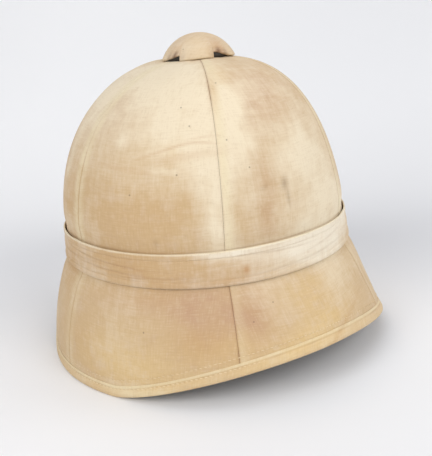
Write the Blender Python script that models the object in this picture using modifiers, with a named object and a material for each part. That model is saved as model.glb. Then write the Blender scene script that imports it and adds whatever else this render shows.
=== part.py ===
"""Tall cloth-covered pith helmet with a folded band, a bound rim and a vented cap on top.

Units are metres, +Z is up and the helmet faces -Y. It rests on z = 0 by its neck guard at the back
and its peak at the front. A turn is an angle about the crown's axis, from the middle of the back
(+Y) round towards the wearer's right (-X).
"""

import math
from collections import namedtuple

import bpy
import numpy as np

# Plan of the crown at the top of the band, and of the rim, both measured on the cloth
crown_length = 0.227
crown_width = 0.212
crown_plan_power = 2.1
rim_back_reach = 0.1311
rim_front_reach = 0.154
rim_width = 0.272
rim_plan_power = 1.91

# Heights
band_bottom = 0.0795
band_height = 0.0256
crown_rise = 0.1212
ear_arch = 0.0298
ear_arch_power = 1.34
rest_arc = math.radians(20)

# Walls and clearances
shell_wall = 0.003
cloth = 0.001
band_cloth = 0.0013
binding_cloth = 0.001
gap = 0.0003

# The crown's and brim's sections at the back, the side and the front: a rise power above 1 keeps
# the wall upright for longer, and a round power above 2 makes the shoulder fuller. The band's
# flare is a share of its height, and the brim's bulge a share of the height it spans.
Section = namedtuple("Section", "rise_power round_power band_flare brim_bulge")
back = Section(rise_power=2.25, round_power=2.12, band_flare=0.02, brim_bulge=0.055)
side = Section(rise_power=1.82, round_power=3.30, band_flare=0.13, brim_bulge=0.010)
front = Section(rise_power=1.15, round_power=3.15, band_flare=0.155, brim_bulge=0.001)

# The band presses its seat into the cloth, which comes back out above and below it
band_seat = 0.0012
seat_fade = 0.007

# Six cover panels, each lapped over the one before it along its seam
panel_count = 6
panel_columns = 8
lap_share = 0.5
lap_slope_share = 0.07
lap_height = 0.0006
lap_start = 0.004
lap_run = 0.012

# The cloth binding round the rim
binding_depth = 0.0068
brim_lean = 0.52

# Vent: a round hole in the crown, a collar through it and a domed cap on four feet
vent_radius = 0.016
collar_clearance = 0.001
collar_wall = 0.0012
collar_lip_width = 0.005
cap_radius = 0.028
cap_height = 0.0195
cap_wall = 0.0018
cap_turn = math.radians(6)
cap_foot_count = 4
cap_slot_angle = math.radians(35)
cap_slot_edge = math.radians(2.5)
cap_slot_height = 0.0045
cap_foot_lift = 0.0011

# Mesh fineness
shoulder = 0.72
top_steps = 5
side_rises = (0.54, 0.37, 0.21, 0.07, 0.0)
brim_shares = (0.12, 0.4, 0.7, 1.0)
cap_ring_shares = (0.18, 0.4, 0.62, 0.82)

columns = panel_count * panel_columns
turns = np.arange(columns) * 2 * math.pi / columns
band_top = band_bottom + band_height
collar_radius = vent_radius - collar_clearance

# Offsets from the cover's outer face, outwards positive
shell_outer = -cloth - gap
shell_inner = shell_outer - shell_wall

# The leaning walls end this far above the binding's level underside
rim_edge_lift = binding_cloth + gap - brim_lean * shell_inner


def clear_scene():
    for item in list(bpy.data.objects):
        bpy.data.objects.remove(item, do_unlink=True)


def part_collection():
    found = bpy.data.collections.new("pith_helmet")
    bpy.context.scene.collection.children.link(found)
    return found


def material(name, color, roughness, metallic=0.0):
    """A plain Principled material."""
    made = bpy.data.materials.new(name)
    made.use_nodes = True
    principled = made.node_tree.nodes["Principled BSDF"]
    principled.inputs["Base Color"].default_value = (*color, 1.0)
    principled.inputs["Roughness"].default_value = roughness
    principled.inputs["Metallic"].default_value = metallic
    made.diffuse_color = (*color, 1.0)
    return made


def place(turn, radius, height):
    """The points at a turn, a distance from the crown's axis and a height, on the last axis."""
    turn, radius, height = np.broadcast_arrays(turn, radius, height)
    return np.stack([-radius * np.sin(turn), radius * np.cos(turn), height], axis=-1)


def plan_radius(turn, back_reach, front_reach, half_width, power):
    """Radius of an egg-shaped plan: two half superellipses that share their width."""
    reach = np.where(np.cos(turn) > 0, back_reach, front_reach)
    along = np.abs(np.cos(turn) / reach) ** power
    across = np.abs(np.sin(turn) / half_width) ** power
    return (along + across) ** (-1 / power)


def crown_plan(turn):
    return plan_radius(turn, crown_length / 2, crown_length / 2, crown_width / 2, crown_plan_power)


def section_value(turn, column):
    """One column of the section table, blended round the helmet by squared cosine and sine."""
    facing = np.where(np.cos(turn) > 0, getattr(back, column), getattr(front, column))
    return facing * np.cos(turn) ** 2 + getattr(side, column) * np.sin(turn) ** 2


def seat_at(distance):
    """How far the cloth is pressed in at this distance above or below the band."""
    return band_seat * np.exp(-((distance / seat_fade) ** 2))


def crown_row(turn, rise):
    """Cover points at a share of the crown's rise: radius share = (1 - rise^a)^(1/b)."""
    rise_power = section_value(turn, "rise_power")
    round_power = section_value(turn, "round_power")
    radius = crown_plan(turn) * (1 - rise**rise_power) ** (1 / round_power)
    return place(turn, radius - seat_at(crown_rise * rise), band_top + crown_rise * rise)


def crown_top_row(turn, radius):
    """Cover points at a plan radius near the top, from the same formula solved for its height."""
    rise_power = section_value(turn, "rise_power")
    round_power = section_value(turn, "round_power")
    rise = (1 - (radius / crown_plan(turn)) ** round_power) ** (1 / rise_power)
    return place(turn, radius, band_top + crown_rise * rise)


def band_bottom_radius(turn):
    return crown_plan(turn) + band_height * section_value(turn, "band_flare")


def rim_height(turn):
    """Height of the rim over the floor: flat at the back and front, arched over the ears."""
    level = math.sin(rest_arc)
    aside = np.clip((np.abs(np.sin(turn)) - level) / (1 - level), 0, 1)
    return ear_arch * aside**ear_arch_power


def brim_row(turn, share):
    """Cover points at a share of the way from the band's bottom down to the rim."""
    rim_radius = plan_radius(turn, rim_back_reach, rim_front_reach, rim_width / 2, rim_plan_power)
    bulge = band_bottom * section_value(turn, "brim_bulge") * 4 * share * (1 - share)
    radius = band_bottom_radius(turn) * (1 - share) + rim_radius * share + bulge
    height = band_bottom * (1 - share) + (rim_height(turn) + rim_edge_lift) * share
    return place(turn, radius - seat_at(band_bottom - height), height)


def cover_rows():
    """All rows of the cover's outer face, from the vent hole down to the rim, [row, column, xyz]."""
    rise_power = section_value(turns, "rise_power")
    round_power = section_value(turns, "round_power")
    shoulder_radius = crown_plan(turns) * (1 - shoulder**rise_power) ** (1 / round_power)
    rows = []
    for step in range(top_steps + 1):
        share = step / top_steps
        rows.append(crown_top_row(turns, vent_radius * (1 - share) + shoulder_radius * share))
    for rise in side_rises:
        rows.append(crown_row(turns, rise))
    rows.append(brim_row(turns, 0.0))
    for share in brim_shares:
        rows.append(brim_row(turns, share))
    return np.array(rows)


def ring_normals(rows):
    """Outward unit normals of a grid whose columns close into a ring, rows running down."""
    around = np.roll(rows, -1, axis=1) - np.roll(rows, 1, axis=1)
    down = np.gradient(rows, axis=0)
    normals = np.cross(down, around)
    return normals / np.linalg.norm(normals, axis=-1, keepdims=True)


def surface_object(name, grid, closed, skin, thickness, pole=None):
    """An open surface over a grid of points, given its wall by Solidify on its inner side.

    closed joins the last column to the first, and pole is one more point that closes the hole
    inside the first row.
    """
    row_count, column_count, _ = grid.shape
    faces = []
    for row in range(row_count - 1):
        for column in range(column_count if closed else column_count - 1):
            after = (column + 1) % column_count
            faces.append(
                (
                    row * column_count + column,
                    (row + 1) * column_count + column,
                    (row + 1) * column_count + after,
                    row * column_count + after,
                )
            )
    points = [tuple(point) for point in grid.reshape(-1, 3)]
    if pole is not None:
        points.append(tuple(pole))
        for column in range(column_count):
            faces.append((len(points) - 1, column, (column + 1) % column_count))
    mesh = bpy.data.meshes.new(name)
    mesh.from_pydata(points, [], faces)
    mesh.materials.append(skin)
    mesh.shade_smooth()
    made = bpy.data.objects.new(name, mesh)
    made.parent = crown_axis
    collection.objects.link(made)
    triangles = made.modifiers.new("even_triangles", "TRIANGULATE")
    triangles.quad_method = "FIXED"
    wall = made.modifiers.new("wall", "SOLIDIFY")
    wall.thickness = thickness
    wall.offset = -1.0
    wall.use_even_offset = True
    return made


def make_shell(rows, normals):
    surface_object("pith_shell", rows + normals * shell_outer, True, pith, shell_wall)


def between(first, second, share):
    """Points a share of the way from one grid column to the next."""
    return first + (second - first) * np.reshape(share, (-1, 1))


def make_panel(number, rows, normals):
    """One cover panel from seam to seam, raised along its first edge where it laps the last one."""
    picked = (np.arange(panel_columns + 1) + number * panel_columns) % columns
    points = rows[:, picked]
    outward = normals[:, picked]
    first_width = np.linalg.norm(points[:, 1] - points[:, 0], axis=-1)
    last_width = np.linalg.norm(points[:, -1] - points[:, -2], axis=-1)
    beyond_cap = np.hypot(points[:, 0, 0], points[:, 0, 1]) - cap_radius
    rise = np.interp(beyond_cap, (lap_start, lap_start + lap_run), (0, lap_height))
    raised = outward[:, 0] * rise[:, None]
    start = between(points[:, 0], points[:, 1], gap / 2 / first_width) + raised
    lap_end = between(points[:, 0], points[:, 1], lap_share) + raised
    lap_foot = between(points[:, 0], points[:, 1], lap_share + lap_slope_share)
    end = between(points[:, -1], points[:, -2], gap / 2 / last_width)
    edges_first = np.stack([start, lap_end, lap_foot], axis=1)
    grid = np.concatenate([edges_first, points[:, 1:-1], end[:, None]], axis=1)
    surface_object(f"cover_panel_{number + 1}", grid, False, canvas, cloth)


def make_band(rows):
    """The hat band: a folded strip with a raised hem along its top and bottom edges."""
    BandRow = namedtuple("BandRow", "height_share hem_share")
    band_rows = (
        BandRow(height_share=0.98, hem_share=0.25),
        BandRow(height_share=0.83, hem_share=0.25),
        BandRow(height_share=0.79, hem_share=0.0),
        BandRow(height_share=0.21, hem_share=0.0),
        BandRow(height_share=0.17, hem_share=0.25),
        BandRow(height_share=0.02, hem_share=0.25),
    )
    seat = top_steps + len(side_rises)
    upper = rows[seat]
    lower = rows[seat + 1]
    outward = ring_normals(np.array([upper, lower]))[0]
    clear = lap_height + gap + band_cloth
    grid = []
    for row in band_rows:
        seated = lower + (upper - lower) * row.height_share
        grid.append(seated + outward * (clear + band_cloth * row.hem_share))
    surface_object("hat_band", np.array(grid), True, band_canvas, band_cloth)


def make_binding(rows, normals):
    """A U of cloth over the rim, cut level underneath so that it rests flat."""
    rim = rows[-1]
    outward = normals[-1]
    down = rows[-1] - rows[-2]
    down /= np.linalg.norm(down, axis=-1, keepdims=True)
    height = rim_height(turns)
    outer = lap_height + gap + binding_cloth
    inner = shell_inner - gap - binding_cloth

    def corner(offset):
        """Where the face at this offset from the cover reaches the binding's underside."""
        start = rim + outward * offset
        run = (height - start[:, 2]) / down[:, 2]
        return start + down * run[:, None]

    outer_corner = corner(outer)
    inner_corner = corner(inner)
    grid = np.array(
        [
            outer_corner - down * binding_depth,
            outer_corner,
            inner_corner,
            inner_corner - down * binding_depth,
        ]
    )
    surface_object("rim_binding", grid, True, binding_canvas, binding_cloth)
    crown_axis.location.y = -(grid[..., 1].max() + grid[..., 1].min()) / 2


def cap_turns():
    """Turns of the cap's columns: close pairs at the slots' sides, even between them."""
    half_slot = cap_slot_angle / 2
    pitch = 2 * math.pi / cap_foot_count
    slot = np.linspace(-half_slot, half_slot, 4)
    foot = np.linspace(half_slot + cap_slot_edge, pitch - half_slot - cap_slot_edge, 6)
    quarter = np.concatenate([slot, foot])
    in_slot = np.concatenate([np.ones(len(slot)), np.zeros(len(foot))])
    turn = np.concatenate([quarter + pitch * number for number in range(cap_foot_count)])
    return turn + cap_turn, np.tile(in_slot, cap_foot_count)


def cap_ball():
    """Radius and centre height of the ball that the domed cap is cut from."""
    radius = (cap_radius**2 + cap_height**2) / (2 * cap_height)
    foot_height = crown_top_row(math.pi / 2, cap_radius)[2] + cap_foot_lift
    return radius, foot_height + cap_height - radius


def make_cap():
    """A dome on four feet that follow the crown, with vent slots between them."""
    turn, in_slot = cap_turns()
    ball_radius, centre_height = cap_ball()
    foot_height = crown_top_row(turn, cap_radius)[:, 2] + cap_foot_lift
    slot_height = foot_height + cap_slot_height
    slot_radius = np.sqrt(ball_radius**2 - (slot_height - centre_height) ** 2)
    edge_radius = np.where(in_slot > 0, slot_radius, cap_radius)
    edge_height = np.where(in_slot > 0, slot_height, foot_height)
    grid = []
    for share in cap_ring_shares:
        radius = edge_radius * share
        height = centre_height + np.sqrt(ball_radius**2 - radius**2)
        grid.append(place(turn, radius, height))
    grid.append(place(turn, edge_radius, edge_height))
    pole = place(0.0, 0.0, centre_height + ball_radius)
    surface_object("vent_cap", np.array(grid), True, canvas, cap_wall, pole)


def make_collar():
    """The hidden collar: a tube through the vent hole that carries the cap, lipped underneath."""
    ball_radius, centre_height = cap_ball()
    inside = ball_radius - cap_wall
    top = centre_height + math.sqrt(inside**2 - collar_radius**2) - 2 * gap
    lip_radius = collar_radius + collar_lip_width
    lowest_cover = crown_top_row(turns, lip_radius)[:, 2].min()
    lip = lowest_cover + shell_inner - 3 * gap
    profile = (
        (collar_radius, top),
        (collar_radius, lip),
        (lip_radius, lip),
    )
    grid = np.array([place(turns[::2], radius, height) for radius, height in profile])
    surface_object("vent_collar", grid, True, metal, collar_wall)


clear_scene()
collection = part_collection()

# Every piece is modelled about the crown's axis, which the binding then shifts so that the
# rim's middle stands over the origin
crown_axis = bpy.data.objects.new("crown_axis", None)
collection.objects.link(crown_axis)

canvas = material("tan_canvas", (0.73, 0.56, 0.37), 0.9)
band_canvas = material("band_canvas", (0.76, 0.60, 0.41), 0.9)
binding_canvas = material("binding_canvas", (0.71, 0.54, 0.36), 0.9)
pith = material("pith_wall", (0.62, 0.48, 0.33), 0.95)
metal = material("dull_zinc", (0.33, 0.31, 0.28), 0.55, 1.0)

cover = cover_rows()
cover_normals = ring_normals(cover)
make_shell(cover, cover_normals)
for panel in range(panel_count):
    make_panel(panel, cover, cover_normals)
make_band(cover)
make_binding(cover, cover_normals)
make_cap()
make_collar()
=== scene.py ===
"""Looks of the cloth-covered pith helmet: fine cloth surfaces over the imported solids, and their finish.

Units are metres, +Z is up and the helmet faces -Y. A turn is an angle about the crown's axis, from
the middle of the back (+Y) round towards the wearer's right (-X). Every cloth surface is worked out
from one function, cover_at(turn, down), whose second parameter runs down the helmet: 0 to 1 is the
crown from the vent to the band, 1 to 2 the stretch under the band, and 2 to 3 the brim.
"""

import math
from collections import namedtuple

import bpy
import numpy as np
from mathutils import Matrix, Vector


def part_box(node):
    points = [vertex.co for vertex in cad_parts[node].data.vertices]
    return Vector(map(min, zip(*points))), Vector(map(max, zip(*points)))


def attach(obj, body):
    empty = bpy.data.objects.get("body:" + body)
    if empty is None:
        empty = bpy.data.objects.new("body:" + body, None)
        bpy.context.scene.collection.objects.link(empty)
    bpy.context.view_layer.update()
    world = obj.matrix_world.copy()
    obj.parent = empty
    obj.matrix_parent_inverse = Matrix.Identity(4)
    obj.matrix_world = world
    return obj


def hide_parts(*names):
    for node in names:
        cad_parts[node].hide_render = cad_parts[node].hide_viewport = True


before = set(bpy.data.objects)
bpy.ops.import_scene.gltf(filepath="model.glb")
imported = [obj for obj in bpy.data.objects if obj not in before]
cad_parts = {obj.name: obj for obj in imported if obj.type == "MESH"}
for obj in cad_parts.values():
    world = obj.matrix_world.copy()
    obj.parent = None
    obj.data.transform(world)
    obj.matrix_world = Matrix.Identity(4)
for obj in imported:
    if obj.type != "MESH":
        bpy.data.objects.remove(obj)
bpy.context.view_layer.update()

mm = 0.001

# The forms that the solids have, in their own sizes
crown_length = 0.227
crown_width = 0.212
crown_plan_power = 2.1
rim_back_reach = 0.1311
rim_front_reach = 0.154
rim_width = 0.272
rim_plan_power = 1.91
band_bottom = 0.0795
band_height = 0.0256
crown_rise = 0.1212
ear_arch = 0.0298
ear_arch_power = 1.34
rest_arc = math.radians(20)
Section = namedtuple("Section", "rise_power round_power band_flare brim_bulge")
back = Section(rise_power=2.25, round_power=2.12, band_flare=0.02, brim_bulge=0.055)
side = Section(rise_power=1.82, round_power=3.30, band_flare=0.13, brim_bulge=0.010)
front = Section(rise_power=1.15, round_power=3.15, band_flare=0.155, brim_bulge=0.001)
band_seat = 1.2 * mm
seat_fade = 7 * mm
cloth = 1.0 * mm
shell_outer = -1.3 * mm
shell_inner = -4.3 * mm
rim_edge_lift = 3.54 * mm
panel_count = 6
vent_radius = 16 * mm
cap_radius = 28 * mm
cap_wall = 1.8 * mm
cap_foot_count = 4
cap_slot_angle = math.radians(35)
cap_foot_lift = 1.1 * mm

# The cap's cloth has worked itself a little off the middle, towards the front and the wearer's right
cloth_slot_height = 4.4 * mm
cloth_cap_turn = math.radians(4.75)
cloth_cap_radius = 28.0 * mm
cloth_cap_height = 18.0 * mm
cloth_cap_shift = np.array([-1.4, -1.9, 0.0]) * mm

band_top = band_bottom + band_height
collar_low, collar_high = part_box("vent_collar")
axis_y = (collar_low.y + collar_high.y) / 2


def blend(first, second, share):
    """A straight mix: the first value at share 0, the second at share 1."""
    return first * (1 - share) + second * share


def eased(share):
    """A step from 0 to 1 with level ends: 3s^2 - 2s^3."""
    share = np.clip(share, 0.0, 1.0)
    return share * share * (3 - 2 * share)


def place(turn, radius, height):
    """Points at a turn, a distance from the crown's axis and a height, on the last axis."""
    turn, radius, height = np.broadcast_arrays(turn, radius, height)
    return np.stack([-radius * np.sin(turn), radius * np.cos(turn) + axis_y, height], axis=-1)


def plan_radius(turn, back_reach, front_reach, half_width, power):
    """Egg-shaped plan: two half superellipses, (cos/reach)^n + (sin/half width)^n = radius^-n."""
    reach = np.where(np.cos(turn) > 0, back_reach, front_reach)
    along = np.abs(np.cos(turn) / reach) ** power
    across = np.abs(np.sin(turn) / half_width) ** power
    return (along + across) ** (-1 / power)


def crown_plan(turn):
    """The egg-shaped plan of the crown where it meets the band."""
    return plan_radius(turn, crown_length / 2, crown_length / 2, crown_width / 2, crown_plan_power)


def section_value(turn, column):
    """One column of the section table, blended round the helmet by squared cosine and sine."""
    facing = np.where(np.cos(turn) > 0, getattr(back, column), getattr(front, column))
    return facing * np.cos(turn) ** 2 + getattr(side, column) * np.sin(turn) ** 2


def seat_at(distance):
    """How far the cloth is pressed in at this distance above or below the band."""
    return band_seat * np.exp(-((distance / seat_fade) ** 2))


def rim_height(turn):
    """Height of the rim over the floor: flat at the back and front, arched over the ears."""
    level = math.sin(rest_arc)
    aside = np.clip((np.abs(np.sin(turn)) - level) / (1 - level), 0, 1)
    return ear_arch * aside**ear_arch_power


def cover_at(turn, down):
    """The cover's outer face.

    Crown: an angle p runs from the vent to a right angle, rise share = cos(p)^(2/a) and radius
    share = sin(p)^(2/b), with the section's powers a and b. Under the band: a straight flare.
    Brim: a straight line to the rim plus a parabola's bulge.
    """
    plan = crown_plan(turn)
    rise_power = section_value(turn, "rise_power")
    round_power = section_value(turn, "round_power")
    vent_angle = np.arcsin((vent_radius / plan) ** (round_power / 2))
    angle = blend(vent_angle, math.pi / 2, np.clip(down, 0, 1))
    rise = np.clip(np.cos(angle), 0, 1) ** (2 / rise_power)
    crown_radius = plan * np.sin(angle) ** (2 / round_power) - seat_at(crown_rise * rise)
    crown_z = band_top + crown_rise * rise

    foot_radius = plan + band_height * section_value(turn, "band_flare")
    share = np.clip(down - 1, 0, 1)
    band_radius = blend(plan, foot_radius, share) - band_seat
    band_z = blend(band_top, band_bottom, share)

    share = np.clip(down - 2, 0, 1)
    rim_radius = plan_radius(turn, rim_back_reach, rim_front_reach, rim_width / 2, rim_plan_power)
    bulge = band_bottom * section_value(turn, "brim_bulge") * 4 * share * (1 - share)
    brim_z = blend(band_bottom, rim_height(turn) + rim_edge_lift, share)
    brim_radius = blend(foot_radius, rim_radius, share) + bulge - seat_at(band_bottom - brim_z)

    radius = np.where(down <= 1, crown_radius, np.where(down <= 2, band_radius, brim_radius))
    height = np.where(down <= 1, crown_z, np.where(down <= 2, band_z, brim_z))
    return place(turn, radius, height)


def unit(vectors):
    """Vectors divided by their own lengths."""
    return vectors / np.linalg.norm(vectors, axis=-1, keepdims=True)


def outward_at(turn, down):
    """Unit normals of cover_at, from the cross product of its two slopes."""
    small = 1e-4
    low = np.maximum(down - small, 0)
    slope_down = cover_at(turn, np.minimum(down + small, 3)) - cover_at(turn, low)
    slope_round = cover_at(turn + small, down) - cover_at(turn - small, down)
    return unit(np.cross(slope_down, slope_round))


def grid_faces(rows, columns, ring_rows=False, ring_columns=False):
    """Vertex numbers of the quads of a grid, whose rows or columns may close into a ring."""
    row = np.arange(rows if ring_rows else rows - 1)[:, None]
    column = np.arange(columns if ring_columns else columns - 1)[None, :]
    below = (row + 1) % rows
    after = (column + 1) % columns
    corners = (
        row * columns + column,
        below * columns + column,
        below * columns + after,
        row * columns + after,
    )
    return np.stack(np.broadcast_arrays(*corners), axis=-1).reshape(-1, 4)


def arc_map(grid, ring_columns=False):
    """Real distances on a grid of points: across from its middle column, and down from its top."""
    across = np.linalg.norm(np.diff(grid, axis=1), axis=-1)
    down = np.linalg.norm(np.diff(grid, axis=0), axis=-1)
    across = np.concatenate([np.zeros((len(grid), 1)), np.cumsum(across, axis=1)], axis=1)
    down = np.concatenate([np.zeros((1, grid.shape[1])), np.cumsum(down, axis=0)], axis=0)
    if not ring_columns:
        across = across - across[:, across.shape[1] // 2][:, None]
    return np.stack([across, down], axis=-1)


def surface_piece(name, grid, finish, flat, ring_rows=False, ring_columns=False, wall=0.0, paint=None):
    """A piece from a grid of points, with a UV map in metres, painted attributes and a wall."""
    rows, columns, _ = grid.shape
    faces = grid_faces(rows, columns, ring_rows, ring_columns)
    mesh = bpy.data.meshes.new(name)
    mesh.from_pydata(grid.reshape(-1, 3).tolist(), [], faces.tolist())
    mesh.shade_smooth()
    mesh.materials.append(finish)
    corner_flat = flat.reshape(-1, 2)[faces]
    if ring_columns:
        lap = corner_flat[..., 0].max(axis=1) - corner_flat[..., 0].min(axis=1)
        round_trip = flat[..., 0].max()
        wrapped = (lap > round_trip / 2)[:, None] & (corner_flat[..., 0] < round_trip / 4)
        corner_flat[..., 0] += wrapped * round_trip
    mesh.uv_layers.new(name="cloth_map").data.foreach_set("uv", corner_flat.ravel())
    for key, values in (paint or {}).items():
        layer = mesh.attributes.new(key, "FLOAT", "POINT")
        values = np.broadcast_to(values, grid.shape[:2]).astype(np.float32)
        layer.data.foreach_set("value", values.ravel())
    made = bpy.data.objects.new(name, mesh)
    bpy.context.scene.collection.objects.link(made)
    if wall:
        thickness = made.modifiers.new("wall", "SOLIDIFY")
        thickness.thickness = wall
        thickness.offset = -1.0
        thickness.use_even_offset = True
    return made


def linear(code):
    """The linear colour of an sRGB hex value."""
    parts = np.array([int(code[start : start + 2], 16) / 255 for start in (1, 3, 5)])
    bent = np.where(parts <= 0.04045, parts / 12.92, ((parts + 0.055) / 1.055) ** 2.4)
    return (*bent.tolist(), 1.0)


def add(tree, kind, links=None, **settings):
    """Adds a shader node: settings are its properties, links its inputs by name or number."""
    node = tree.nodes.new(kind)
    for key, value in settings.items():
        setattr(node, key, value)
    for key, value in (links or {}).items():
        if isinstance(value, bpy.types.NodeSocket):
            tree.links.new(value, node.inputs[key])
        else:
            node.inputs[key].default_value = value
    return node


# Noise that mottles the cloth: what it runs on, its size in mm, detail and roughness
Noise = namedtuple("Noise", "runs_on size detail roughness")
mottles = {
    "broad": Noise(runs_on="Object", size=58.8, detail=5.0, roughness=0.55),
    "middling": Noise(runs_on="Object", size=20.83, detail=5.0, roughness=0.65),
    "fleck": Noise(runs_on="cloth_map", size=3.03, detail=3.0, roughness=0.55),
}

# Noise drawn out along the threads, once each way of the cloth: width and length in mm, and detail
Drawn = namedtuple("Drawn", "width length detail")
drawn_threads = {
    "slubs": Drawn(width=1.0, length=9.09, detail=3.0),
    "streaks": Drawn(width=4.35, length=25.0, detail=4.0),
}

# The cloth's colour in layers, the lowest first. A layer's share is its painted attribute, where it has
# one, joined with its patterns, each turned from one range of values to another. The layer without a
# colour takes the cloth's own cream.
Layer = namedtuple("Layer", "color paint patterns join", defaults=((), "ADD"))
Range = namedtuple("Range", "pattern low high least most")
canvas_layers = (
    Layer("#c09b6c", "tan", [Range("middling", 0.50, 0.70, 0.0, 0.25)]),
    Layer("#be9b7c", "rose", [Range("middling", 0.30, 0.62, 1.15, 0.55)], "MULTIPLY"),
    Layer("#d9bb84", "straw"),
    Layer("#bd9f84", "", [Range("middling", 0.52, 0.68, 0.0, 0.24), Range("streaks", 1.02, 1.20, 0.0, 0.14)]),
    Layer(
        "",
        "pale",
        [
            Range("broad", 0.38, 0.66, -0.14, 0.26),
            Range("middling", 0.35, 0.65, -0.17, 0.17),
            Range("streaks", 0.80, 1.20, -0.10, 0.10),
        ],
    ),
    Layer("#e2d3ae", "lap", [Range("middling", 0.30, 0.60, 0.30, 0.62)], "MULTIPLY"),
    Layer("#b98752", "stain"),
    Layer("#5e3b2c", "grime"),
    # The "seam" layer holds the dirt along the seams and also painted shade: a dark line under the band's lip
    # and darker lines in the band's creases and folds
    Layer("#8f5f33", "seam", [Range("middling", 0.35, 0.60, 0.34, 0.66)], "MULTIPLY"),
    Layer("#a88356", "", [Range("fleck", 0.60, 0.80, 0.0, 0.22)]),
    Layer("#a98759", "", [Range("slubs", 1.02, 1.25, 0.0, 0.14)]),
    Layer("#ebe0ca", "", [Range("slubs", 0.96, 0.78, 0.0, 0.12)]),
    Layer("#a98354", "", [Range("weave", 0.90, 0.10, 0.0, 0.14)]),
)

# What stands up from the cloth, the finest first: pattern, strength and height in mm
canvas_reliefs = (("weave", 0.25, 0.08), ("slubs", 0.35, 0.25), ("middling", 0.45, 0.90))
pinhole_radius = 0.35 * mm
pinhole_edge = 0.85 * mm
thread_pitch = 0.55 * mm


def canvas_material(name, ground, cream, holes=()):
    """Plain-weave cotton canvas gone yellow with age: matt, a little woolly, softly blotched.

    The threads lie thread_pitch apart, which is finer than a pixel of the main render and shows only
    close up. What shows from afar is drawn coarser: uneven threads about a millimetre wide and a
    centimetre long, both ways of the cloth.
    """
    made = bpy.data.materials.new(name)
    made.use_nodes = True
    tree = made.node_tree
    shader = tree.nodes["Principled BSDF"]
    flat = add(tree, "ShaderNodeUVMap", uv_map="cloth_map").outputs["UV"]
    spot = add(tree, "ShaderNodeTexCoord").outputs["Object"]
    patterns = {}
    for key, noise in mottles.items():
        links = {"Vector": spot if noise.runs_on == "Object" else flat, "Scale": 1 / (noise.size * mm)}
        links |= {"Detail": noise.detail, "Roughness": noise.roughness}
        patterns[key] = add(tree, "ShaderNodeTexNoise", links).outputs["Fac"]

    # Two directions of one pattern, added up: the drawn-out noises, then the weave itself. A wave
    # texture of scale 1 repeats every pi / 10 metres.
    crossed = {key: [] for key in (*drawn_threads, "weave")}
    for key, drawn in drawn_threads.items():
        for size in ((drawn.width, drawn.length), (drawn.length, drawn.width)):
            links = {"Vector": flat, "Scale": (1 / (size[0] * mm), 1 / (size[1] * mm), 1.0)}
            links = {"Vector": add(tree, "ShaderNodeMapping", links).outputs["Vector"], "Scale": 1.0}
            links |= {"Detail": drawn.detail, "Roughness": 0.55}
            crossed[key].append(add(tree, "ShaderNodeTexNoise", links).outputs["Fac"])
    for direction in ("X", "Y"):
        links = {"Vector": flat, "Scale": math.pi / (10 * thread_pitch), "Distortion": 1.2}
        links |= {"Detail": 1.0, "Detail Scale": 0.6}
        wave = add(tree, "ShaderNodeTexWave", links, bands_direction=direction)
        crossed["weave"].append(wave.outputs["Fac"])
    for key, (one_way, other_way) in crossed.items():
        patterns[key] = add(tree, "ShaderNodeMath", {0: one_way, 1: other_way}, operation="ADD").outputs[0]

    color = linear(ground)
    for layer in canvas_layers:
        shares = []
        if layer.paint:
            shares.append(add(tree, "ShaderNodeAttribute", attribute_name=layer.paint).outputs["Fac"])
        for part in layer.patterns:
            links = {"Value": patterns[part.pattern], "From Min": part.low, "From Max": part.high}
            links |= {"To Min": part.least, "To Max": part.most}
            shares.append(add(tree, "ShaderNodeMapRange", links).outputs["Result"])
        share = shares[0]
        for other in shares[1:]:
            share = add(tree, "ShaderNodeMath", {0: share, 1: other}, operation=layer.join).outputs[0]
        links = {"Factor": share, "A": color, "B": linear(layer.color or cream)}
        color = add(tree, "ShaderNodeMix", links, data_type="RGBA").outputs["Result"]
    for hole in holes:
        links = {0: spot, 1: hole.tolist()}
        gap = add(tree, "ShaderNodeVectorMath", links, operation="DISTANCE").outputs["Value"]
        links = {"Value": gap, "From Min": pinhole_edge, "From Max": pinhole_radius, "To Max": 0.5}
        share = add(tree, "ShaderNodeMapRange", links).outputs["Result"]
        links = {"Factor": share, "A": color, "B": linear("#5a4030")}
        color = add(tree, "ShaderNodeMix", links, data_type="RGBA").outputs["Result"]
    tree.links.new(color, shader.inputs["Base Color"])

    below = {}
    for key, strength, height in canvas_reliefs:
        links = {"Strength": strength, "Distance": height * mm, "Height": patterns[key]} | below
        below = {"Normal": add(tree, "ShaderNodeBump", links).outputs["Normal"]}
    tree.links.new(below["Normal"], shader.inputs["Normal"])
    shader.inputs["Roughness"].default_value = 0.92
    shader.inputs["Specular IOR Level"].default_value = 0.25
    shader.inputs["Sheen Weight"].default_value = 0.12
    shader.inputs["Sheen Roughness"].default_value = 0.5
    return made


def plain_material(name, color, second, roughness, grain_size=4.17 * mm):
    """A matt finish of two close shades, which cloud into each other over about the grain's size."""
    made = bpy.data.materials.new(name)
    made.use_nodes = True
    tree = made.node_tree
    shader = tree.nodes["Principled BSDF"]
    spot = add(tree, "ShaderNodeTexCoord").outputs["Object"]
    links = {"Vector": spot, "Scale": 1 / grain_size, "Detail": 5.0}
    grain = add(tree, "ShaderNodeTexNoise", links).outputs["Fac"]
    links = {"Factor": grain, "A": linear(color), "B": linear(second)}
    shades = add(tree, "ShaderNodeMix", links, data_type="RGBA").outputs["Result"]
    tree.links.new(shades, shader.inputs["Base Color"])
    shader.inputs["Roughness"].default_value = roughness
    return made


# Rows of the crown, of the stretch under the band and of the brim
crown_downs = np.linspace(0.0, 1.0, 147)[:-1]
band_downs = np.array([1.0, 1.015, 1.03, 1.045, 1.06, 1.09, 1.2, 1.4, 1.6, 1.8])
brim_downs = np.linspace(2.0, 3.0, 47)
cover_downs = np.concatenate([crown_downs, band_downs, brim_downs])

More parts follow.
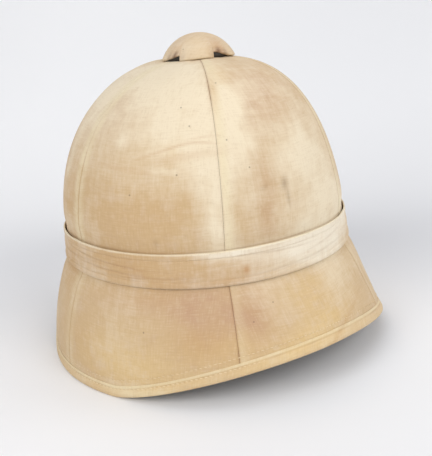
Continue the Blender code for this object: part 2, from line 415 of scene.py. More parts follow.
# The six seams: their turn on the crown and at the rim in degrees, whether the panel after the seam
# laps over the one before, how much dirt lies along it, and the lap's height as a share of its profile
Seam = namedtuple("Seam", "crown_turn rim_turn lap_after dirt lift")
seams = (
    Seam(crown_turn=-0.6, rim_turn=-2.6, lap_after=False, dirt=0.0, lift=0.35),
    Seam(crown_turn=59.9, rim_turn=61.2, lap_after=True, dirt=0.80, lift=0.6),
    Seam(crown_turn=124.0, rim_turn=127.0, lap_after=True, dirt=0.3, lift=0.6),
    Seam(crown_turn=180.0, rim_turn=180.0, lap_after=True, dirt=0.8, lift=0.9),
    Seam(crown_turn=236.0, rim_turn=233.0, lap_after=True, dirt=0.7, lift=0.9),
    Seam(crown_turn=300.0, rim_turn=299.0, lap_after=True, dirt=0.8, lift=0.9),
)

# A seam's edges: distance from the seam and height over the cover, both in mm
lap_profile = ((0.0, 0.0), (0.25, 0.22), (0.8, 0.40), (2.0, 0.42), (4.5, 0.34), (7.0, 0.16), (9.6, 0.0))
tuck_profile = ((0.0, -0.08), (0.4, -0.04), (2.0, 0.0))
dirt_spread = 0.85 * mm
edge_steps = np.array([0.05, 0.2, 0.4, 0.6, 0.9, 1.5, 2.4, 3.4, 4.5, 5.6, 6.3, 7.0, 7.8, 8.6, 9.6]) * mm
inner_columns = 58


def seam_turn(number, down):
    """A seam's turn at each row, drifting from its crown value to its rim value down the brim."""
    lap = 2 * math.pi * (number // panel_count)
    seam = seams[number % panel_count]
    drift = np.radians(seam.rim_turn - seam.crown_turn) * eased((down - 1) / 2)
    return math.radians(seam.crown_turn) + lap + drift


def panel_grid(number):
    """Turns, downs and distances from both seams, with close columns along each seam."""
    down = cover_downs[:, None]
    start = seam_turn(number, down)
    end = seam_turn(number + 1, down)
    middle = cover_at((start + end) / 2, down)
    width = np.hypot(middle[..., 0], middle[..., 1] - axis_y) * (end - start)
    near = np.minimum(edge_steps[None, :], width * 0.45 * edge_steps[None, :] / edge_steps[-1])
    inside = blend(near[:, -1:], width - near[:, -1:], np.linspace(0, 1, inner_columns + 2)[None, 1:-1])
    across = np.concatenate([near, inside, width - near[:, ::-1]], axis=1)
    turn = start + across / width * (end - start)
    return turn, np.broadcast_to(down, turn.shape), across, width - across


def edge_height(distance, seam, lapped, fade):
    """Height of the cloth near a seam, from the lap's or the tuck's profile."""
    steps, heights = np.array(lap_profile if lapped else tuck_profile).T * mm
    return np.interp(distance, steps, heights) * (fade * seam.lift if lapped else 1.0)


def swell(turn, down):
    """The cloth's own unevenness: four long sine waves, a few tenths of a millimetre in all."""
    waves = np.sin(5 * turn + 3.1 * down + 0.6) + 0.7 * np.sin(9 * turn - 5.3 * down + 2.1)
    waves = waves + 0.6 * np.sin(14 * turn + 7.7 * down + 4.0) + 0.5 * np.sin(3 * turn - 11.0 * down)
    return 0.16 * mm * waves


# Where the band's top edge stands off the crown: turn and half length in degrees, extra in mm
lip_gaps = (
    (-10, 10, 0.5), (24, 9, 0.3), (92, 34, 0.5), (122, 3, 0.35), (170, 20, 0.5), (235, 25, 0.7),
    (300, 18, 0.5),
)


def turn_from(turn, middle):
    """Signed difference in degrees between turns and a middle turn, within half a circle."""
    return (np.degrees(turn) - middle + 180) % 360 - 180


def lip_gap(turn):
    """How far the band's top edge stands off, in mm: a sum of bells, one for each listed place."""
    bells = [extra * np.exp(-((turn_from(turn, middle) / half) ** 2)) for middle, half, extra in lip_gaps]
    return sum(bells)


def make_panel(number, finish):
    """One panel of the cover: cover_at, moved outward by its laps and its swell.

    The laps fade out under the cap and the swell fades out at the rim. A seam's dirt falls off as
    exp(-(distance / dirt_spread)^2), is heaviest a third of the way down the crown and on the brim,
    and comes and goes along it. A painted shadow lies as a dark line under the band's lip, darker
    where that stands off.
    """
    turn, down, from_start, from_end = panel_grid(number)
    points = cover_at(turn, down)
    outward = outward_at(turn, down)
    beyond_cap = np.hypot(points[..., 0], points[..., 1] - axis_y) - cap_radius
    fade = eased((beyond_cap + 2 * mm) / (8 * mm))
    first, last = seams[number], seams[(number + 1) % panel_count]
    lap_first = first.lap_after
    lap_last = not last.lap_after
    raised = edge_height(from_start, first, lap_first, fade)
    raised = raised + edge_height(from_end, last, lap_last, fade)
    away_from_rim = eased((3 - down) / 0.15)
    grid = points + outward * (raised + swell(turn, down) * away_from_rim)[..., None]
    nearest = np.minimum(from_start, from_end)
    pale_first = lap_first or first.dirt == 0
    pale_last = lap_last or last.dirt == 0
    strips = band_pass(from_start) * pale_first + band_pass(from_end) * pale_last
    paint = cloth_paint(grid)
    paint["lap"] = strips * (1 - 0.5 * eased(down - 1))
    dirt = np.where(from_start < from_end, first.dirt, last.dirt)
    wear = 0.30 + 0.70 * np.exp(-(((down - 0.30) / 0.15) ** 2)) + 0.12 * np.sin(23 * down + number)
    wear = wear + 0.35 * eased(down - 1)
    # Painted shadow: a dark line on the cover just under the band's lip, darker where the lip stands off,
    # kept in the "seam" attribute beside the seams' dirt
    lip_shadow = (0.15 + 1.1 * lip_gap(turn)) * np.exp(-(((down - 1.03) / 0.018) ** 2))
    line = np.exp(-((nearest / dirt_spread) ** 2))
    paint["seam"] = np.clip(dirt * wear * line + lip_shadow, 0, 1)
    name = f"canvas_panel_{number + 1}"
    piece = surface_piece(name, grid, finish, arc_map(grid), wall=cloth, paint=paint)
    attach(piece, "root")
    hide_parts(f"cover_panel_{number + 1}")


def band_pass(distance):
    """1 over a lap's raised strip, fading out softly past its far side."""
    return eased((distance - 0.2 * mm) / (0.9 * mm)) * (1 - eased((distance - 2.5 * mm) / (7.1 * mm)))


# Soft stains and worn places on the cover: kind, turn in degrees, down as in cover_at, half sizes
# across and down in mm, lean in degrees and strength, which is below 0 where the cloth kept its colour
Mark = namedtuple("Mark", "kind turn down half_width half_height lean strength")
marks = (
    Mark("pale", 50, 0.30, 62, 48, 0, 0.85),
    Mark("pale", 47, 0.50, 30, 30, 0, 0.60),
    Mark("pale", 76, 0.26, 13, 12, 0, -0.30),
    Mark("pale", 5, 0.36, 14, 12, 0, -0.30),
    Mark("pale", 54, 0.68, 15, 44, 0, 0.50),
    Mark("pale", 67, 0.74, 14, 60, 0, 0.70),
    Mark("pale", 98, 0.66, 30, 20, 0, 0.75),
    Mark("pale", 107, 0.86, 24, 34, 0, 0.65),
    Mark("pale", 20, 0.59, 7, 7, 0, 0.48),
    Mark("pale", 36, 0.704, 3.5, 2.0, 0, 0.35),
    Mark("pale", 39.6, 0.700, 3.0, 2.0, 0, 0.42),
    Mark("pale", 43, 0.702, 3.6, 2.0, 0, 0.35),
    Mark("pale", 90, 1.40, 27, 9, 6, 0.95),
    Mark("pale", 60, 1.12, 26, 3.5, 0, 0.60),
    Mark("pale", 112, 1.5, 18, 12, 0, 0.45),
    Mark("pale", 59, 0.92, 14, 26, 0, 0.40),
    Mark("pale", 98, 0.93, 26, 16, 0, 0.50),
    Mark("pale", 72, 1.40, 14, 8, 0, 0.20),
    Mark("straw", 92, 2.45, 24, 22, 0, 0.45),
    Mark("straw", 84, 2.86, 44, 8, -14, 0.60),
    Mark("straw", 26, 2.76, 46, 20, 6, 0.60),
    Mark("straw", 60, 2.72, 26, 14, 0, 0.35),
    Mark("straw", 66, 0.22, 7, 26, 0, 0.60),
    Mark("straw", 50, 0.60, 22, 10, -8, 0.50),
    Mark("pale", -14, 0.40, 24, 40, 0, 0.80),
    Mark("pale", -8, 0.22, 30, 24, 0, 0.60),
    Mark("pale", 6, 0.12, 22, 10, 0, 0.50),
    Mark("pale", -16, 0.68, 8, 40, 0, 0.40),
    Mark("pale", 126, 0.95, 22, 26, 0, 0.90),
    Mark("pale", 99, 0.975, 12, 6, 0, 0.50),
    Mark("pale", 84, 0.90, 12, 14, 0, 0.30),
    Mark("pale", 95, 1.85, 26, 5, 4, 0.50),
    Mark("pale", 58, 0.90, 8, 24, 0, 0.35),
    Mark("pale", 26, 2.98, 60, 5, 0, 0.35),
    Mark("pale", 66.5, 0.86, 7, 34, 0, -0.45),
    Mark("pale", 58, 2.22, 13, 15, 0, -0.40),
    Mark("pale", 67, 2.28, 11, 16, 0, -0.15),
    Mark("pale", 37, 1.33, 12, 8, 0, -0.30),
    Mark("pale", 50, 2.66, 26, 12, 0, -0.20),
    Mark("pale", 106, 2.24, 16, 16, 0, 0.45),
    Mark("pale", -10, 0.96, 10, 8, 0, 0.35),
    Mark("pale", 200, 0.45, 60, 50, 0, 0.50),
    Mark("pale", 290, 0.50, 50, 46, 0, 0.45),
    Mark("rose", 8, 0.47, 26, 26, 0, 0.55),
    Mark("rose", 22, 0.40, 18, 20, 0, 0.35),
    Mark("rose", 78, 0.40, 20, 26, 0, 0.60),
    Mark("rose", 90, 0.50, 24, 14, 0, 0.45),
    Mark("rose", 106, 0.36, 18, 24, 0, 0.45),
    Mark("rose", 77, 0.82, 15, 34, 0, 0.50),
    Mark("rose", 30, 2.14, 40, 10, 0, 0.50),
    Mark("rose", 52, 2.20, 22, 18, 0, 0.95),
    Mark("rose", 68, 2.36, 15, 22, 0, 0.95),
    Mark("rose", 56, 2.55, 16, 20, 0, 0.50),
    Mark("rose", 88, 0.30, 16, 18, 0, 0.60),
    Mark("rose", 245, 0.62, 40, 30, 0, 0.45),
    Mark("rose", 160, 0.70, 34, 30, 0, 0.40),
    Mark("tan", 12, 0.90, 44, 30, 0, 0.40),
    Mark("tan", -16, 0.80, 24, 60, 0, 0.45),
    Mark("tan", 40, 0.88, 26, 24, 0, 0.30),
    Mark("tan", 22, 1.5, 60, 14, 0, 0.55),
    Mark("tan", 4, 2.60, 26, 26, 0, 0.35),
    Mark("tan", 68, 2.24, 14, 18, 0, 0.60),
    Mark("tan", 37, 2.05, 16, 10, 0, 0.35),
    Mark("tan", 52, 2.58, 24, 14, 0, 0.80),
    Mark("tan", 101, 2.62, 10, 14, 0, 0.45),
    Mark("tan", -12, 2.0, 22, 18, 0, 0.50),
    Mark("tan", 60, 1.5, 14, 12, 0, 0.25),
    Mark("stain", 33.8, 0.640, 11, 0.9, -17, 0.28),
    Mark("stain", 43, 0.604, 11, 0.8, -14, 0.42),
    Mark("stain", 53.5, 0.585, 11, 0.8, 3, 0.34),
    Mark("stain", 54.5, 0.562, 9, 0.7, -7, 0.26),
    Mark("stain", 67, 1.62, 2.4, 3.2, 0, 0.75),
    Mark("stain", 48, 0.64, 26, 3.0, -8, 0.22),
    Mark("stain", 20, 0.70, 30, 2.0, 6, 0.15),
    Mark("stain", 62, 0.33, 3.0, 16, 4, 0.30),
    Mark("stain", 96, 2.93, 50, 1.5, -22, 0.25),
    Mark("grime", 86.8, 0.770, 2.5, 4.2, 10, 0.38),
    Mark("grime", 87.8, 0.828, 1.5, 6.0, 0, 0.28),
    Mark("grime", 77.2, 0.775, 3.5, 1.6, -20, 0.13),
    Mark("grime", 36, 0.97, 2.0, 3.0, 0, 0.16),
)
mark_kinds = ("pale", "straw", "tan", "rose", "stain", "grime")

# Small dark pinholes in the cover: turn in degrees and down as in cover_at
pinholes = (
    (45.2, 0.424), (49.2, 0.514), (64.2, 0.576), (44.2, 0.714), (26.5, 0.802), (64.5, 0.291),
    (31.5, 2.406), (74.8, 2.289), (67.0, 2.460), (72.0, 0.690), (150.0, 0.500), (201.0, 0.700),
    (262.0, 0.420), (318.0, 0.640),
)


mark_reach = 60 * mm


def mark_at(points, mark):
    """A mark's share at each point: exp(-q^2), q measured in half sizes in its tangent plane.

    Across that plane the mark fades over mark_reach, so that it stays on its own side of the helmet.
    """
    turn = np.array(math.radians(mark.turn))
    down = np.array(mark.down)
    centre = cover_at(turn, down)
    outward = outward_at(turn, down)
    around = unit(np.cross(outward, cover_at(turn, down + 1e-3) - centre))
    below = np.cross(around, outward)
    offset = points - centre
    across = offset @ around
    along = offset @ below
    lean = math.radians(mark.lean)
    first = (across * math.cos(lean) + along * math.sin(lean)) / (mark.half_width * mm)
    second = (along * math.cos(lean) - across * math.sin(lean)) / (mark.half_height * mm)
    depth = (offset @ outward) / mark_reach
    return mark.strength * np.exp(-(first**2 + second**2 + depth**2))


def cloth_paint(points):
    """The painted attributes of a piece of cloth: each kind of mark, summed and capped."""
    paint = {}
    for kind in mark_kinds:
        total = np.zeros(points.shape[:-1])
        for mark in marks:
            if mark.kind == kind:
                total = total + mark_at(points, mark)
        paint[kind] = np.clip(total, -0.5, 1)
    return paint


def ring_turns(count):
    """Equal turns once round the helmet, as one row."""
    return np.arange(count)[None, :] * 2 * math.pi / count


# The folded band from its bottom edge to its top edge: share of its height, stand-off in mm
band_profile = (
    (0.0, 1.25), (0.012, 1.9), (0.05, 2.45), (0.13, 2.5), (0.175, 2.35), (0.19, 2.0), (0.215, 2.1),
    (0.4, 2.3), (0.6, 2.3), (0.78, 2.1), (0.81, 2.0), (0.825, 2.3), (0.86, 2.5), (0.95, 2.5),
    (0.988, 2.0), (1.0, 1.3),
)

# Lengthwise creases of the band: turn of the middle and half length in degrees, share of the band's
# height at the middle, its change along the length, and depth in mm
Crease = namedtuple("Crease", "turn half_turn share slope depth")
creases = (
    Crease(turn=8, half_turn=22, share=0.62, slope=-0.10, depth=0.35),
    Crease(turn=14, half_turn=20, share=0.38, slope=-0.06, depth=0.32),
    Crease(turn=-12, half_turn=25, share=0.48, slope=0.05, depth=0.30),
    Crease(turn=30, half_turn=14, share=0.27, slope=0.03, depth=0.22),
    Crease(turn=96, half_turn=24, share=0.30, slope=0.08, depth=0.25),
    Crease(turn=82, half_turn=16, share=0.74, slope=-0.05, depth=0.25),
    Crease(turn=108, half_turn=12, share=0.60, slope=0.10, depth=0.20),
    Crease(turn=150, half_turn=22, share=0.44, slope=-0.06, depth=0.28),
    Crease(turn=185, half_turn=26, share=0.66, slope=0.05, depth=0.28),
    Crease(turn=212, half_turn=20, share=0.34, slope=-0.04, depth=0.30),
    Crease(turn=250, half_turn=28, share=0.55, slope=0.07, depth=0.28),
    Crease(turn=285, half_turn=20, share=0.40, slope=0.04, depth=0.30),
    Crease(turn=318, half_turn=24, share=0.60, slope=-0.08, depth=0.28),
)
crease_half_height = 0.022
band_wall = 0.9 * mm


def make_band(finish):
    """The folded band: its profile carried round the crown's foot, with its top edge sagging a little.

    A crease is a groove, exp(-(length share)^2) along it times exp(-(height off it)^2) across it,
    with half as high a ridge over it. The top edge stands off where lip_gap says and ruffles slightly.
    """
    upper = np.linspace(1, 0.8, 19)
    middle_rows = np.linspace(0.8, 0.2, 21)
    lower = np.linspace(0.2, 0, 19)
    share = np.concatenate([upper[:-1], middle_rows[:-1], lower])[:, None]
    turn = ring_turns(480)
    sag = 0.010 * np.sin(3 * turn + 1.0) + 0.006 * np.sin(7 * turn)
    seat = cover_at(turn, np.clip(2 - 0.955 * share - sag * share * (1 - share) * 4, 1, 2))
    outward = outward_at(turn, np.full_like(turn, 1.5))
    shares, stand = np.array(band_profile).T
    off = np.interp(share, shares, stand * mm) + 0 * turn
    crease_shade = 0 * off
    for crease in creases:
        away = turn_from(turn, crease.turn) / crease.half_turn
        middle = crease.share + crease.slope * away
        groove = np.exp(-(away**2)) * np.exp(-(((share - middle) / crease_half_height) ** 2))
        ridge = np.exp(-(away**2)) * np.exp(-(((share - middle - 0.06) / 0.04) ** 2))
        crease_shade = crease_shade + 1.6 * crease.depth * groove
        off = off + crease.depth * mm * (0.5 * ridge - groove)
    off = off + lip_gap(turn) * mm * eased((share - 0.93) / 0.07)
    off = off + 0.12 * mm * np.sin(23 * turn + 2 * np.sin(5 * turn)) * eased((share - 0.85) / 0.15)
    grid = seat + outward * off[..., None]
    paint = cloth_paint(grid)
    paint["lap"] = eased((share - 0.955) / 0.03) + 0.8 * eased((0.035 - share) / 0.02)
    paint["pale"] = np.clip(paint["pale"] + 0.5 * eased((share - 0.93) / 0.04), 0, 1)
    # Painted shade: darker lines along the band's two folds, uneven along their length, and in its creases,
    # deeper where a crease is deeper
    fold_shade = 0.22 + 0.16 * np.sin(5 * turn + 1.3) + 0.10 * np.sin(17 * turn)
    folds = np.exp(-(((share - 0.815) / 0.012) ** 2)) + np.exp(-(((share - 0.185) / 0.012) ** 2))
    paint["seam"] = np.clip(fold_shade * folds + crease_shade, 0, 1)
    flat = arc_map(grid, ring_columns=True)
    piece = surface_piece("folded_band", grid, finish, flat, ring_columns=True, wall=band_wall, paint=paint)
    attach(piece, "root")
    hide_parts("hat_band")


# The rim binding's section, a folded strip: distance up from the rim and offset from the cover, in mm
binding_profile = (
    (6.0, 0.10), (5.9, 0.38), (5.4, 0.62), (4.6, 0.78), (3.5, 0.70), (2.6, 0.98), (0.4, 1.30),
    (-1.4, 1.35), (-2.5, 1.05), (-3.1, 0.2), (-3.1, -1.2), (-2.6, -3.2), (-1.6, -5.0), (0.0, -5.5),
    (3.0, -5.6), (7.0, -5.6), (7.4, -5.2), (7.4, -4.7), (3.0, -4.6), (0.6, -4.5), (-0.7, -3.4),
    (-1.0, -1.6), (0.1, 0.1), (2.0, 0.30),
)
stitch_groove = 3.5 * mm


def make_binding(finish):
    """The bound rim: its section carried round the brim's edge, up the cover's slope and out from it.

    Each section is then moved down or up until its lowest point is at the rim's height over the floor.
    """
    turn = ring_turns(540)
    rim = cover_at(turn, np.full_like(turn, 3.0))
    outward = outward_at(turn, np.full_like(turn, 3.0))
    upward = unit(cover_at(turn, np.full_like(turn, 2.9)) - rim)
    up, off = np.array(binding_profile).T[:, :, None, None] * mm
    grid = rim + upward * up + outward * off
    low = grid[..., 2].min(axis=0)
    grid[..., 2] += rim_height(turn[0]) - low
    grid = grid[::-1]
    paint = cloth_paint(grid)
    outside = off[::-1, :, 0] > 0.2 * mm
    over_rim = up[::-1, :, 0]
    paint["lap"] = outside * eased((over_rim - 3.4 * mm) / (0.8 * mm)) + 0 * turn
    groove = outside * np.exp(-(((over_rim - stitch_groove) / (0.35 * mm)) ** 2))
    paint["seam"] = groove * (0.34 + 0.12 * np.sin(9 * turn + 0.7) + 0.08 * np.sin(31 * turn))
    flat = arc_map(grid, ring_columns=True)
    piece = surface_piece("bound_rim", grid, finish, flat, ring_rows=True, ring_columns=True, paint=paint)
    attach(piece, "root")
    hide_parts("rim_binding")


# Two rows of stitches along the rim: distance up from the rim, stand-off, half width and half height,
# all in mm, and how far the row is lowered with the binding that it lies on
StitchRow = namedtuple("StitchRow", "up stand_off half_width half_height lowered")
stitch_rows = (
    StitchRow(up=3.5, stand_off=0.86, half_width=0.30, half_height=0.24, lowered=0.64),
    StitchRow(up=9.6, stand_off=0.30, half_width=0.26, half_height=0.20, lowered=0.0),
)
stitch_pitch = 3.4 * mm
stitch_half_length = 1.15 * mm
stitch_rings = 7
stitch_sides = 8


def make_stitches(finish):
    """Stitches as small flattened balls, in two rows of equal steps measured along the rim.

    A ball: middle + along cos(tilt) + upward sin(tilt) cos(spin) + outward sin(tilt) sin(spin), each
    times its own half size.
    """
    fine = np.linspace(0, 2 * math.pi, 2001)
    steps = np.linalg.norm(np.diff(cover_at(fine, np.full_like(fine, 3.0)), axis=0), axis=-1)
    run = np.concatenate([[0], np.cumsum(steps)])
    count = round(run[-1] / stitch_pitch)
    turn = np.interp(np.arange(count) * run[-1] / count, run, fine)[:, None, None]
    rim = cover_at(turn, np.full_like(turn, 3.0))
    outward = outward_at(turn, np.full_like(turn, 3.0))
    upward = unit(cover_at(turn, np.full_like(turn, 2.9)) - rim)
    along = np.cross(outward, upward)
    tilt = np.linspace(0.12, math.pi - 0.12, stitch_rings)[None, :, None, None]
    spin = (np.arange(stitch_sides) * 2 * math.pi / stitch_sides)[None, None, :, None]
    grids = []
    for row in stitch_rows:
        middle = rim + upward * (row.up * mm) + outward * (row.stand_off * mm)
        middle = middle - np.array([0.0, 0.0, row.lowered * mm])
        ball = middle + along * np.cos(tilt) * stitch_half_length
        ball = ball + upward * np.sin(tilt) * np.cos(spin) * row.half_width * mm
        grids.append(ball + outward * np.sin(tilt) * np.sin(spin) * row.half_height * mm)
    balls = np.concatenate(grids)
    one = grid_faces(stitch_rings, stitch_sides, ring_columns=True)
    faces = one[None] + np.arange(len(balls))[:, None, None] * stitch_rings * stitch_sides
    mesh = bpy.data.meshes.new("rim_stitches")
    mesh.from_pydata(balls.reshape(-1, 3).tolist(), [], faces.reshape(-1, 4).tolist())
    mesh.shade_smooth()
    mesh.materials.append(finish)
    piece = bpy.data.objects.new("rim_stitches", mesh)
    bpy.context.scene.collection.objects.link(piece)
    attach(piece, "root")


def make_shell(finish):
    """The pith wall: down its outer face from the vent hole to the rim and back up its inner face."""
    turn = ring_turns(240)
    stretches = [np.linspace(0, 1, 60)[:-1], np.linspace(1, 2, 5)[:-1], np.linspace(2, 3, 24)]
    down = np.concatenate(stretches)[:, None]
    turn, down = np.broadcast_arrays(turn, down)
    points = cover_at(turn, down)
    outward = outward_at(turn, down)
    grid = np.concatenate([points + outward * shell_outer, (points + outward * shell_inner)[::-1]])
    flat = arc_map(grid, ring_columns=True)
    piece = surface_piece("pith_wall", grid, finish, flat, ring_rows=True, ring_columns=True)
    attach(piece, "root")
    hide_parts("pith_shell")


def crown_height_at(turn, radius):
    """The cover's height at a plan radius near the top, from the crown's formula."""
    rise_power = section_value(turn, "rise_power")
    round_power = section_value(turn, "round_power")
    return band_top + crown_rise * (1 - (radius / crown_plan(turn)) ** round_power) ** (1 / rise_power)


def dome_middle_height():
    """Height of the middle of the cap's ball over the floor, and the ball's radius."""
    ball_radius = (cloth_cap_radius**2 + cloth_cap_height**2) / (2 * cloth_cap_height)
    foot = crown_height_at(np.array(math.pi / 2), cloth_cap_radius) + cap_foot_lift
    return float(foot) + cloth_cap_height - ball_radius, ball_radius


def cap_point(turn, share):
    """A point of the cap's cloth at a turn in degrees and a share of its radius."""
    centre_height, ball_radius = dome_middle_height()
    radius = cloth_cap_radius * share
    height = centre_height + math.sqrt(ball_radius**2 - radius**2)
    return place(math.radians(turn), radius, height) + cloth_cap_shift


# A slot of the cap, in degrees from its middle: the steep end falls from steep_start over steep_width,
# and the shallow end rises from shallow_end over shallow_run
steep_start = 14.5
steep_width = 2.5
shallow_end = -26
shallow_run = 36
cap_columns = 360


def make_cap(finish):
    """The domed cap: a ball's top whose cloth dips in and lifts over four slots between its feet.

    Each slot is steep at one end and slopes down to nothing at the other, in mirrored pairs. Height
    over the ball's middle is sqrt(ball radius^2 - radius^2), and the hem follows the slots.
    """
    turn = ring_turns(cap_columns)
    centre_height, ball_radius = dome_middle_height()
    foot_at = crown_height_at(turn, cloth_cap_radius) + cap_foot_lift
    pitch = 2 * math.pi / cap_foot_count
    past_side = turn - cloth_cap_turn + pitch / 2
    side_number = np.floor(past_side / pitch)
    past_middle = past_side % pitch - pitch / 2
    toward_steep = np.degrees(past_middle * np.where(side_number % 2 == 0, 1, -1))
    slot = np.clip((toward_steep - shallow_end) / shallow_run, 0, 1) ** 0.8
    slot = slot * (1 - eased((toward_steep - steep_start) / steep_width))
    hem_height = foot_at + cloth_slot_height * slot
    hem_radius = np.sqrt(ball_radius**2 - (hem_height - centre_height) ** 2)
    share = np.concatenate([[0.015], np.linspace(0.05, 1, 48)])[:, None]
    radius = hem_radius * share
    height = centre_height + np.sqrt(ball_radius**2 - radius**2)
    beside = np.abs(past_middle) - 0.55 * cap_slot_angle
    dip = (1 - eased(beside / math.radians(9))) * eased((share - 0.72) / 0.28)
    radius = radius - 1.1 * mm * dip
    height = height - 0.5 * mm * dip
    grid = place(turn, radius, height) + cloth_cap_shift
    paint = cloth_paint(grid)
    near_slot = np.exp(-(((toward_steep - 2) / 15) ** 2))
    uneven = 0.6 + 0.4 * np.sin(22 * turn + 11 * share)
    smear = near_slot * eased((share - 0.84) / 0.14) ** 1.5 * uneven
    paint["grime"] = np.clip(paint["grime"] + 0.75 * smear, 0, 1)
    paint["stain"] = np.clip(paint["stain"] + 0.28 * near_slot * eased((share - 0.74) / 0.2), 0, 1)
    paint["rose"] = np.clip(paint["rose"] + 0.8 * near_slot * eased((share - 0.45) / 0.3), 0, 1)
    paint["lap"] = 0.6 * eased((share - 0.97) / 0.03) * (1 - slot)
    paint["seam"] = 0 * turn + 0 * share
    flat = arc_map(grid, ring_columns=True)
    piece = surface_piece("domed_cap", grid, finish, flat, ring_columns=True, wall=cap_wall, paint=paint)
    close_pole(piece, place(0.0, 0.0, centre_height + ball_radius) + cloth_cap_shift, cap_columns)
    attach(piece, "root")
    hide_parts("vent_cap")


def make_collar(finish):
    """The vent collar: a tube through the hole, lipped below and flared under the cap's slots.

    Its section of radius and height is carried round the axis. What stands over the crown moves with
    the cap's cloth, and fills the view through the slots.
    """
    lip = collar_low.z
    sill = float(crown_height_at(np.array(math.pi / 2), 24 * mm))
    roof = sill + 6.2 * mm
    profile = (
        (13.8 * mm, lip),
        (20.0 * mm, lip),
        (20.0 * mm, lip + 1.2 * mm),
        (15.0 * mm, lip + 1.4 * mm),
        (15.0 * mm, sill - 1.0 * mm),
        (24.2 * mm, sill - 1.2 * mm),
        (24.2 * mm, sill + 3.0 * mm),
        (21.4 * mm, roof),
        (19.5 * mm, roof),
        (13.8 * mm, max(collar_high.z, roof)),
    )
    radius, height = np.array(profile).T[:, :, None]
    grid = place(ring_turns(96), radius, height)
    grid = (grid + cloth_cap_shift * eased((height[..., None] - sill) / mm))[::-1]
    flat = arc_map(grid, ring_columns=True)
    piece = surface_piece("flared_collar", grid, finish, flat, ring_rows=True, ring_columns=True)
    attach(piece, "root")
    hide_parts("vent_collar")


def close_pole(piece, point, columns):
    """Closes the hole inside a piece's first row with a fan of triangles round one point."""
    mesh = piece.data
    first = np.arange(columns)
    start = len(mesh.loops)
    polygons = len(mesh.polygons)
    mesh.vertices.add(1)
    pole = len(mesh.vertices) - 1
    mesh.vertices[pole].co = point
    fan = np.stack([np.full(columns, pole), first, (first + 1) % columns], axis=-1)
    mesh.loops.add(columns * 3)
    mesh.polygons.add(columns)
    corner_vertices = np.zeros(len(mesh.loops), dtype=np.int32)
    mesh.loops.foreach_get("vertex_index", corner_vertices)
    corner_vertices[start:] = fan.ravel()
    mesh.loops.foreach_set("vertex_index", corner_vertices)
    starts = np.zeros(len(mesh.polygons), dtype=np.int32)
    mesh.polygons.foreach_get("loop_start", starts)
    starts[polygons:] = start + np.arange(columns) * 3
    mesh.polygons.foreach_set("loop_start", starts)
    mesh.update(calc_edges=True)
    mesh.shade_smooth()


hole_turns, hole_downs = np.array(pinholes).T
cover_holes = cover_at(np.radians(hole_turns), hole_downs)
cap_holes = [cap_point(24.6, 0.85), cap_point(25.2, 0.89), cap_point(88, 0.86), cap_point(101, 0.90)]

# Plain-weave cotton, aged and sunned: matt tan bleached to cream in soft patches, with no shine at all
canvas = canvas_material("aged_cotton_canvas", "#ccb18a", "#e6d7bb", cover_holes)
# The same cotton folded lengthwise: a little paler, as it was rubbed; painted shade in its creases and folds
# shows as darker lines
band_cloth = canvas_material("folded_cotton_canvas", "#ccb18b", "#eadfca")
# Cotton strip bound over the edge: lighter and yellower, as it is handled most
binding_cloth = canvas_material("bound_cotton_canvas", "#d4b98f", "#eadbb6")
# Cotton stretched over the vent's dome: rosy tan, soiled brown where air and dust pass the slots
cap_cloth = canvas_material("stained_cotton_canvas", "#d2b996", "#e5d6bb", cap_holes)
# Linen thread drawn through wax: smoother and paler than the cloth, so that the stitches read as dots
thread = plain_material("waxed_linen_thread", "#e6d3ab", "#d8c096", 0.8)
# Pressed pith under thin lining cloth: dull dark brown, seen only from below
pith = plain_material("cloth_lined_pith", "#55422c", "#6f5839", 0.95)
# Sheet zinc painted black and gone dull: nearly no light comes back through the slots
zinc = plain_material("blackened_zinc", "#26221d", "#3a342c", 0.75)

for panel in range(panel_count):
    make_panel(panel, canvas)
make_band(band_cloth)
make_binding(binding_cloth)
make_stitches(thread)
make_shell(pith)
make_cap(cap_cloth)
make_collar(zinc)

# The camera's place about the helmet and its lens, fitted to the outline, the band and the rim
camera_turn = math.radians(53.74)
camera_rise = math.radians(15.90)
camera_roll = math.radians(3.44)
camera_distance = 0.56
camera_lens_mm = 53.60
camera_shift = (0.0236, -0.0322)
aim = Vector((0.0, axis_y, 0.1))
toward_camera = Vector((-math.sin(camera_turn), math.cos(camera_turn), 0.0))
to_the_right = Vector((-toward_camera.y, toward_camera.x, 0.0))
upright = Vector((0.0, 0.0, 1.0))

# The floor of the stage ends behind the helmet in a bend up to a wall, all in metres
floor_near = 2.6
floor_end = -0.27
bend_radius = 1.0
wall_top = 3.0


def paper_painted_light(distance, aside):
    """Painted light on the paper, 0 to 1: whiter far behind and to the left, greyer in a painted shadow just
    behind the helmet.

    The distance runs towards the camera and aside runs to the left, in metres from the origin.
    """
    painted_light = 0.55 + 0.20 * eased((-0.1 - distance) / 0.7)
    painted_light = painted_light + 0.30 * eased(0.5 + aside / 1.1) * eased((1.0 - distance) / 1.2)
    painted_light = painted_light - 0.19 * np.exp(-(((distance + 0.2) / 0.13) ** 2))
    return np.clip(painted_light, 0, 1)


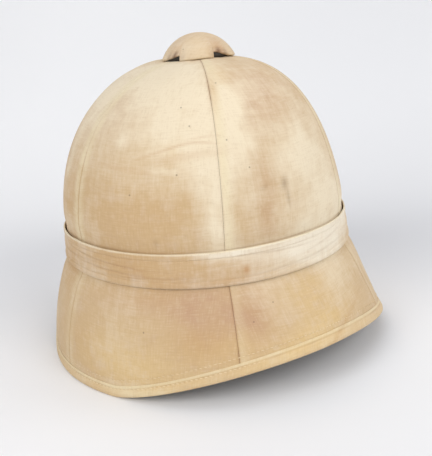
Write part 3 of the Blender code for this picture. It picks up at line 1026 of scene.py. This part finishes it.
def make_stage():
    """A floor carried along a quarter circle into an upright wall, square to the camera's turn."""
    floor = np.linspace(floor_near, floor_end, 90)
    arc = np.linspace(0, math.pi / 2, 40)[1:]
    run = np.concatenate([floor, floor_end - bend_radius * np.sin(arc)])
    height = np.concatenate([0 * floor, bend_radius * (1 - np.cos(arc))])
    run = np.append(run, run[-1])[:, None, None]
    height = np.append(height, wall_top)[:, None, None]
    across = np.linspace(-3, 3, 61)[None, :, None]
    grid = run * np.array(toward_camera) - across * np.array(to_the_right) + height * np.array(upright)
    paper = bpy.data.materials.new("matt_white_paper")
    paper.use_nodes = True
    tree = paper.node_tree
    shader = tree.nodes["Principled BSDF"]
    # The paper's colour is painted light and shade: a mix from grey to white by the painted attribute
    painted_light = add(tree, "ShaderNodeAttribute", attribute_name="painted_light").outputs["Fac"]
    links = {"Factor": painted_light, "A": linear("#c3c4c8"), "B": linear("#ffffff")}
    shade = add(tree, "ShaderNodeMix", links, data_type="RGBA").outputs["Result"]
    tree.links.new(shade, shader.inputs["Base Color"])
    shader.inputs["Roughness"].default_value = 0.9
    # Painted light and shade: whiter far behind and to the left, a painted shadow just behind the helmet
    paint = {"painted_light": paper_painted_light(run[..., 0], across[..., 0])}
    made = surface_piece("paper_sweep", grid, paper, arc_map(grid), paint=paint)


# Round softboxes: metres towards the camera, to the right and up from the origin, and watts
Softbox = namedtuple("Softbox", "name near right up power")
softboxes = (
    Softbox("overhead_softbox", near=0.1, right=0.0, up=1.4, power=3.6),
    Softbox("right_softbox", near=1.2, right=1.0, up=1.0, power=11.0),
    Softbox("left_softbox", near=1.2, right=-1.0, up=1.0, power=15.5),
    Softbox("side_softbox", near=0.0, right=1.5, up=0.9, power=7.5),
)
softbox_width = 1.2


def make_softbox(box):
    """A round soft light turned towards the middle of the helmet."""
    lamp = bpy.data.lights.new(box.name, "AREA")
    lamp.shape = "DISK"
    lamp.size = softbox_width
    lamp.energy = box.power
    made = bpy.data.objects.new(box.name, lamp)
    made.location = toward_camera * box.near + to_the_right * box.right + upright * box.up
    direction = Vector((0.0, 0.0, 0.1)) - made.location
    made.rotation_euler = direction.to_track_quat("-Z", "Y").to_euler()
    bpy.context.scene.collection.objects.link(made)


def make_camera():
    """The camera: back from the aim along its turn and rise, rolled about its own line of sight."""
    lens = bpy.data.cameras.new("camera")
    lens.sensor_fit = "AUTO"
    lens.sensor_width = 36.0
    lens.lens = camera_lens_mm
    lens.shift_x, lens.shift_y = camera_shift
    lens.clip_start = 0.01
    made = bpy.data.objects.new("camera", lens)
    backward = toward_camera * math.cos(camera_rise) + upright * math.sin(camera_rise)
    right = (-backward).cross(upright).normalized()
    up = right.cross(-backward)
    rolled_right = right * math.cos(camera_roll) - up * math.sin(camera_roll)
    rolled_up = right * math.sin(camera_roll) + up * math.cos(camera_roll)
    turned = Matrix((rolled_right, rolled_up, backward)).transposed().to_4x4()
    made.matrix_world = Matrix.Translation(aim + backward * camera_distance) @ turned
    bpy.context.scene.collection.objects.link(made)
    bpy.context.scene.camera = made


make_stage()
make_camera()
for softbox in softboxes:
    make_softbox(softbox)
world = bpy.data.worlds.new("studio")
bpy.context.scene.world = world
world.use_nodes = True
sky = world.node_tree.nodes["Background"]
sky.inputs["Color"].default_value = linear("#f4f6ff")
sky.inputs["Strength"].default_value = 0.30
bpy.context.scene.view_settings.view_transform = "Standard"
